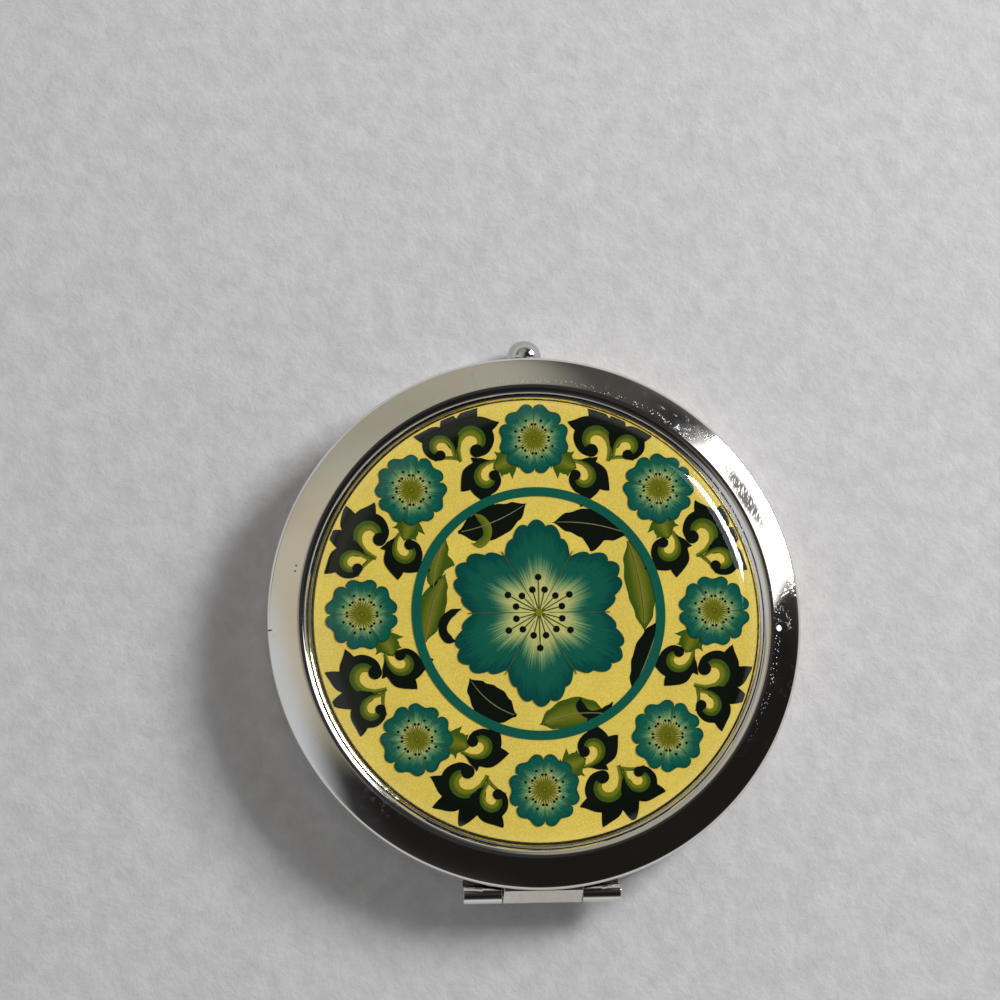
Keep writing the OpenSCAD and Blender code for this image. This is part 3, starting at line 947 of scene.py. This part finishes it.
def scroll(art, length, turn, lobes, level):
    """A curled leaf: an olive band that winds in, a dark lobed leaf on its outer side and a round end."""
    unit = length / 10
    bends = [turn / length * bend for bend in (0.1, 0.35, 0.75, 1.0, 1.15, 1.4, 1.7, 1.9)]
    line = spine(length, bends, 160)
    outer = lobed(unit, lobes, 0.0, 0.2, 0.75, 1.45, 1.8, 1.8, 1.7, 1.55, 1.35, 1.15, 0.95)
    art.shape(edges(line[:146], widths(0, 0), outer), DARK, level)
    olive = [step for step in line[::2] if step[2] <= 0.88]
    left = widths(*(unit * w for w in (0.24, 0.32, 0.5, 0.68, 0.78, 0.8, 0.7, 0.45, 0.0)))
    right = widths(*(unit * w for w in (0.24, 0.24, 0.3, 0.4, 0.46, 0.46, 0.4, 0.3, 0.0)))
    art.band(olive, left, right, (LIGHT_OLIVE, LIGHT_OLIVE, OLIVE, OLIVE), level + 1, 6)
    place, heading, _ = line[142]
    art.dot(place - 0.35j * heading * unit, 0.85 * unit, DARK, L_RIB, 28)


BIG_LOBES = (
    (0.16, 0.4, 0.43, 1.2, 1.0), (0.43, 0.53, 0.56, 0.9, 0.9), (0.56, 0.65, 0.68, 0.5, 0.8),
)
SMALL_LOBES = ((0.14, 0.4, 0.44, 0.6, 1.2), (0.46, 0.62, 0.66, 0.5, 1.1))
TAIL_LOBES = ((0.04, 0.24, 0.28, 0.4, 0.8), (0.3, 0.5, 0.54, 0.6, 0.8), (0.54, 0.66, 0.7, 0.5, 1.6))


def leaf(art, length, width, bend, inks, level, left_lobes=(), right_lobes=(), rib=None):
    """A pointed leaf along +X with a softer core, pointed lobes on its sides, and perhaps a thin rib."""
    line = spine(length, [bend / length] * 2, 96)
    unit = width / 2
    half = (0.1, 0.75, 1.0, 0.92, 0.6, 0.0)
    left, right = (lobed(unit, lobes, *half) for lobes in (left_lobes, right_lobes))
    art.shape(edges(line, left, right), inks[0], level)
    inside = widths(*(0.7 * unit * w for w in half))
    tones = (inks[0], inks[1], inks[0])
    art.band([step for step in line[::2] if step[2] < 0.9], inside, inside, tones, level + 1, 6)
    if rib:
        thin = widths(0.05, 0.06, 0.03)
        art.band([step for step in line[::2] if 0.04 < step[2] < 0.94], thin, thin, (rib, rib), L_RIB, 1)


OLIVE_INKS = (OLIVE, LIGHT_OLIVE)
DARK_INKS = (DARK, DARK)
LEAF_TEETH = ((0.05, 0.3, 0.35, 0.15, 0.5), (0.35, 0.6, 0.66, 0.1, 0.35))
LEAF_TEETH_2 = ((0.0, 0.15, 0.2, 0.1, 0.3), (0.2, 0.46, 0.52, 0.15, 0.45), (0.55, 0.76, 0.82, 0.1, 0.3))


def sprig(art):
    """What fills a gap between two rosettes. +X runs out along the gap's middle."""
    scroll(art.placed(22.2 - 1.3j, 4), 10.2, 330, BIG_LOBES, L_DARK)
    scroll(art.placed(22.9 - 1.8j, 18, True), 7.8, 330, SMALL_LOBES, L_DARK_2)
    scroll(art.placed(20.6 + 2.9j, -80, True), 8.2, 335, TAIL_LOBES, L_DARK_3)
    stem = spine(3.5, (-4, -12, -16), 20)
    half = widths(0.26, 0.2)
    art.placed(22.5 - 1.2j, -56).band(stem, half, half, (OLIVE, LIGHT_OLIVE), L_STEM, 1)
    leaf(art.placed(20.0 + 5.9j, -98), 3.8, 3.0, 8, OLIVE_INKS, L_LEAF, LEAF_TEETH, LEAF_TEETH_2)


def ray(art, angle, start, end, width, ink, level):
    """A thin straight line out from the middle."""
    line = [(polar(start + (end - start) * i / 4, angle), polar(1, angle), i / 4) for i in range(5)]
    half = widths(width / 2, width / 2)
    art.band(line, half, half, (ink, ink), level, 1)


def rosette(art):
    """A small six-petalled blossom with two rings of stamens."""
    def outline(angle):
        across = angle / 60 % 1
        dip = math.exp(-(((across - 0.5) / 0.2) ** 2))
        return ROSETTE_R * (0.78 + 0.26 * math.sin(math.pi * across) ** 0.4 - 0.16 * dip)

    tones = (CORE, CORE, CORE, CORE, PALE, FADED_TEAL, FADED_TEAL, TEAL, TEAL, TEAL, DEEP_TEAL)
    shares = [0] + [0.1 * k for k in range(2, 11)]
    art.round(outline, tones, L_FLOWER, 180, shares, 0.16)
    for k in range(6):
        ray(art, 60 * k, 1.6, 3.9, 0.05, PETAL_LINE, L_PETAL_LINE)
    for k in range(32):
        ray(art, 360 * (k + 0.5) / 32, 0.2 + 0.6 * (k % 2), 1.9, 0.075, FILAMENT, L_FILAMENT)
    for k in range(8):
        for turn, reach in ((-7, 1.95), (7, 1.95), (22.5, 2.6)):
            art.dot(polar(reach, 45 * k + turn), 0.18, DARK, L_DOT, 10)


def blossom(art):
    """The large six-petalled blossom in the ring, its petals with scalloped ends."""
    def outline(angle):
        across = angle * 6 / 360 % 1
        round_end = math.sin(math.pi * across)
        petal = PETAL_NOTCH + (1 - PETAL_NOTCH) * round_end**1.05
        scallop = abs(math.sin(math.pi * PETAL_SCALLOPS * across)) ** 0.8 - 0.6
        return BLOSSOM_R * (petal + SCALLOP_DEPTH * scallop * round_end**0.35)

    tones = (PALE, PALE, PALE, PALE, mixed(PALE, FADED_TEAL, 0.4), FADED_TEAL, TEAL, TEAL, TEAL)
    tones += (DEEP_TEAL, DEEP_TEAL)
    shares = [0] + [0.05 * k for k in range(4, 21)]
    art.round(outline, tones, L_FLOWER, 720, shares, 0.14)
    for k in range(6):
        ray(art, 60 * k, 1.2, 9.3, 0.09, PETAL_LINE, L_PETAL_LINE)
    stamens = [(30 + 60 * k, 4.65) for k in range(6)] + [(15 + 30 * k, 3.1) for k in range(12)]
    for angle, reach in stamens:
        ray(art, angle, 0.3, reach, 0.16, FILAMENT, L_FILAMENT)
        art.dot(polar(reach, angle), 0.44, DARK, L_DOT, 18)
    art.dot(0, 0.5, CORE, L_CORE)


# Leaves round the blossom: angle and radius of the root, direction, length, width, bend, dark or olive
INNER_LEAVES = (
    (40, 15.9, 158, 10.4, 4.2, 26, True), (38, 15.2, -70, 12.4, 4.0, -24, False),
    (-4, 15.8, -106, 10.4, 4.0, -14, True), (-58, 15.7, 172, 9.0, 4.4, 34, False),
    (-104, 13.8, 162, 8.0, 4.4, -44, True), (-166, 15.4, 82, 9.6, 3.6, -20, False),
    (140, 15.6, -118, 7.4, 2.8, 28, False), (134, 14.8, 10, 10.0, 4.4, 26, True),
)
INNER_FINS = ((0.3, 0.5, 0.6, 0.8, -0.2),)
# Curls on the leaves: angle and radius of the root, direction, length, turn in degrees, dark or olive
INNER_CURLS = (
    (-52, 15.0, 236, 6.6, -190, True), (177, 10.2, 196, 6.6, 190, True), (122, 15.4, -30, 6.2, -190, False),
)


def inner_leaves(art):
    for angle, radius, heading, length, width, bend, dark in INNER_LEAVES:
        inks, level = (DARK_INKS, L_DARK) if dark else (OLIVE_INKS, L_LEAF)
        leaf(art.placed(polar(radius, angle), heading), length, width, bend, inks, level, INNER_FINS, (), RIB)
    for angle, radius, heading, length, turn, dark in INNER_CURLS:
        tones = (DARK, DARK) if dark else (LIGHT_OLIVE, OLIVE)
        curl = spine(length, [turn / length * bend for bend in (0.3, 0.8, 1.2, 1.4)], 48)
        half = widths(0.1, 0.5, 0.6, 0.55, 0.6, 0.0)
        art.placed(polar(radius, angle), heading).band(curl, half, half, tones, L_OLIVE_3, 2)


def draw_print():
    """The whole ornament, a common floral rosette with scrolled leaves, printed a little off the middle."""
    disc = Drawing()
    disc.round(lambda a: INSERT_R / MM, (GROUND, GROUND), L_GROUND, 360, (0, 0.25, 0.5, 0.75, 1))
    art = disc.within(PRINT_R).placed(PRINT_SHIFT)
    ring_shares = [1 - RING_W / RING_R * k for k in (1, 0.85, 0.15, 0)]
    art.round(lambda a: RING_R + RING_W / 2, (TEAL, TEAL), L_RING, 360, ring_shares)
    inner_leaves(art.within(RING_R))
    blossom(art)
    for k in range(GAPS):
        rosette(art.placed(polar(ROSETTE_ORBIT, GAP_ANGLE * k), GAP_ANGLE * k))
        sprig(art.placed(0, GAP_ANGLE * (k + 0.5), SPRIG_FLIPS[k]))
    return art.plates


def sheet_of(made, ink, rows, height):
    """The points of a plate's sheet. Places that meet share one point."""
    known, sheet = {}, []
    for row in rows:
        line = []
        for place, colour in row:
            key = (round(place.real, 4), round(place.imag, 4))
            if key not in known:
                known[key] = made.verts.new((place.real * MM, place.imag * MM, height))
                known[key][ink] = colour
            line.append(known[key])
        sheet.append(line)
    return sheet


def fill_sheet(made, sheet, closed):
    for a, b in zip(sheet, sheet[1:]):
        for i in range(len(a) if closed else len(a) - 1):
            j = (i + 1) % len(a)
            fill(made, [a[i], a[j], b[j], b[i]])


def add_shape(made, above, below):
    """A plate with one face on each side."""
    fill(made, above)
    fill(made, below)
    for i in range(len(above)):
        fill(made, [above[i - 1], above[i], below[i], below[i - 1]])


def add_plate(made, ink, rows, top, bottom, closed):
    """A closed plate: a fine top, a plain underside and the walls between them."""
    upper = sheet_of(made, ink, rows, top)
    lower = sheet_of(made, ink, [rows[0], rows[-1]] if closed else rows, bottom)
    if len(rows) == 1:
        add_shape(made, upper[0], lower[0])
        return
    fill_sheet(made, upper, closed)
    fill_sheet(made, lower, closed)
    if closed:
        rims = [(upper[k] + upper[k][:1], lower[k] + lower[k][:1]) for k in (0, -1)]
    else:
        rims = [(upper[k], lower[k]) for k in (0, -1)]
        rims += [([row[k] for row in upper], [row[k] for row in lower]) for k in (0, -1)]
    for above, below in rims:
        for i in range(len(above) - 1):
            fill(made, [above[i], above[i + 1], below[i + 1], below[i]])


def make_print():
    """The printed disc with its ornament, each ink a very thin layer over the ground."""
    made = bmesh.new()
    ink = made.verts.layers.float_color.new("ink")
    ground = PRINT_TOP - GROUND_DEPTH
    for rows, level, closed in sorted(draw_print(), key=lambda plate: plate[1]):
        bottom = low("printed_disc").z if level == L_GROUND else ground - LAYER
        add_plate(made, ink, rows, ground + level * LAYER, bottom, closed)
    bmesh.ops.recalc_face_normals(made, faces=made.faces)
    piece = mesh_object("printed_disc_ornament", made)
    dress(piece, PRINT, "print", "lid", "printed_disc")


make_print()


def make_button():
    """Polished ball with a flat back."""
    centre = BALL_TIP - BALL_R
    back = low("button_ball").y
    start = math.degrees(math.asin((back - centre) / BALL_R))
    section = [(0, back)] + arc((0, centre), BALL_R, start, 90, 64)
    section[-1] = (0, BALL_TIP)
    turn = lambda r, t, c, s: (r * c, t, BUTTON_Z + r * s)
    ball = revolve("button_ball_polished", section, turn, BALL_STEPS)
    dress(ball, BUTTON_NICKEL_PAINTED_DARK, "nickel", "button", "button_ball")


make_button()

# Mirrors and their frames
MIRROR_GAP = 0.25e-3
FRAME_T = 0.4e-3
LIP = 0.6e-3
GLASS_EDGE = 0.12e-3
FRAME_ROUND = 0.12e-3
DISH = 0.4e-3
TRAY_R = MIRROR_R + MIRROR_GAP
TRAY_OUT_R = TRAY_R + FRAME_T
LIP_R = MIRROR_R - LIP
BASE_FACE_Z = high("base_mirror_frame").z
LID_FACE_Z = low("lid_mirror_frame").z
GLASS_DEPTH = BASE_FACE_Z - high("base_mirror").z

# Latch
HOOK_W = 2.2e-3
HOOK_T = 0.7e-3
NOSE = 0.7e-3
LATCH_GAP = 0.1e-3
WINDOW_W = HOOK_W + 6 * LATCH_GAP
SHANK_Y = high("lid_catch_hook").y - 2 * HOOK_T
RIVET_D = 0.9e-3
RIVET_X = HOOK_W / 2 + RIVET_D
RIVET_Y = SHANK_Y + HOOK_T / 2


def rounded(points, radius, steps=4):
    """A closed outline with its corners rounded."""
    made = []
    for n, corner in enumerate(points):
        corner, before, after = (Vector(p) for p in (corner, points[n - 1], points[(n + 1) % len(points)]))
        a = corner + (before - corner).normalized() * min(radius, (before - corner).length * 0.45)
        b = corner + (after - corner).normalized() * min(radius, (after - corner).length * 0.45)
        for i in range(steps + 1):
            t = i / steps
            made.append(tuple(a * (1 - t) ** 2 + corner * 2 * t * (1 - t) + b * t**2))
    return made


def frame_section(face, foot, way):
    """Section of a mirror frame: ring plate, sloping lip and tray wall. way is 1 for a face that looks up."""
    under = face - way * (GLASS_DEPTH - FIT)
    return rounded([
        (TRAY_R, foot), (TRAY_R, under), (LIP_R, under), (LIP_R, under + way * FRAME_T / 2),
        (TRAY_OUT_R, face), (FRAME_R, face), (FRAME_R, face - way * FRAME_T),
        (TRAY_OUT_R, face - way * FRAME_T), (TRAY_OUT_R, foot),
    ], FRAME_ROUND)


def make_frames():
    base = revolve("base_mirror_frame_ring", frame_section(BASE_FACE_Z, FLOOR_T, 1))
    window = block(
        "window",
        (-WINDOW_W / 2, SHANK_Y - NOSE - LATCH_GAP, BASE_FACE_Z - OVER),
        (WINDOW_W / 2, SHANK_Y + HOOK_T + LATCH_GAP, BASE_FACE_Z + OVER),
    )
    cut(base, hinge_room(), window)
    dress(base, FRAME_METAL, "frame_metal", "base", "base_mirror_frame")
    lid = revolve("lid_mirror_frame_ring", frame_section(LID_FACE_Z, TRAY_Z - FLOOR_T, -1))
    slot = block(
        "slot",
        (-HOOK_W / 2 - FIT, SHANK_Y - NOSE - FIT, LID_FACE_Z - OVER),
        (HOOK_W / 2 + FIT, SHANK_Y + HOOK_T + FIT, LID_FACE_Z + OVER),
    )
    heights = (LID_FACE_Z - OVER, LID_FACE_Z + OVER)
    holes = [rod("hole", 2, RIVET_D / 2, *heights, (x, RIVET_Y), HOLE_STEPS) for x in (-RIVET_X, RIVET_X)]
    cut(lid, hinge_room(), slot, *holes)
    dress(lid, FRAME_METAL, "frame_metal", "lid", "lid_mirror_frame")


def glass_section(bottom, top):
    """Section of a glass from the middle of its back, round the ground edges, to its front."""
    rim = MIRROR_R - GLASS_EDGE
    back = [(0, bottom)] + arc((rim, bottom + GLASS_EDGE), GLASS_EDGE, -90, 0, 4)
    return back + arc((rim, top - GLASS_EDGE), GLASS_EDGE, 0, 90, 4)


def make_mirrors():
    """The flat glass in the lid and the hollow one in the base, with ground edges."""
    bottom, top = low("lid_mirror").z, high("lid_mirror").z
    lid = revolve("lid_mirror_glass", glass_section(bottom, top) + [(0, top)])
    dress(lid, GLASS, "mirror_glass", "lid", "lid_mirror")
    bottom, top = low("base_mirror").z, high("base_mirror").z
    shares = [i / DISH_STEPS for i in range(DISH_STEPS, -1, -1)]
    dish = [(LIP_R * share, top - DISH * (1 - share**2)) for share in shares]
    base = revolve("base_mirror_glass", glass_section(bottom, top) + dish)
    dress(base, GLASS, "mirror_glass", "base", "base_mirror")


def make_spring():
    """Bowed strip that returns the slide."""
    lowest, highest = low("latch_spring"), high("latch_spring")
    span, rise = highest.x - lowest.x, highest.y - lowest.y
    radius = ((span / 2) ** 2 + rise**2) / (2 * rise)
    centre = highest.y - radius
    inside = radius - SPRING_T
    reach = math.degrees(math.acos((lowest.y - centre) / inside))
    made = bmesh.new()
    section = rounded(
        [(inside, lowest.z), (radius, lowest.z), (radius, highest.z), (inside, highest.z)], SPRING_T * 0.3, 3
    )
    rings = []
    for i in range(SPRING_STEPS + 1):
        a = math.radians(90 - reach + 2 * reach * i / SPRING_STEPS)
        rings.append([made.verts.new((r * math.cos(a), centre + r * math.sin(a), z)) for r, z in section])
    for a, b in zip(rings, rings[1:]):
        for k in range(len(a)):
            j = (k + 1) % len(a)
            made.faces.new([a[k], a[j], b[j], b[k]])
    for ring in (rings[0], rings[-1]):
        made.faces.new(ring)
    bmesh.ops.recalc_face_normals(made, faces=made.faces)
    spring = mesh_object("latch_spring_strip", made)
    dress(spring, SPRING_STEEL, "spring_steel", "base", "latch_spring")
    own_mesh(spring)


make_frames()
make_mirrors()
make_spring()


SMALL_PARTS = [
    ("base_hinge_leaf", NICKEL, "nickel", "base"),
    ("lid_hinge_leaf", NICKEL, "nickel", "lid"),
    ("hinge_pin", STEEL, "steel", "base"),
    ("lid_catch_hook", STEEL, "steel", "lid"),
    ("latch_slide", STEEL, "steel", "button"),
    ("latch_guide", STEEL, "steel", "base"),
    ("hook_rivets", STEEL, "steel", "lid"),
    ("button_stem", STEEL, "steel", "button"),
]
for part in SMALL_PARTS:
    softened(*part)

CAD_FINISHES = {"base_mirror_pad": FOAM, "lid_mirror_pad": FOAM, "insert_glue": GLUE}
for node, material in CAD_FINISHES.items():
    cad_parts[node].data.materials.clear()
    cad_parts[node].data.materials.append(material)
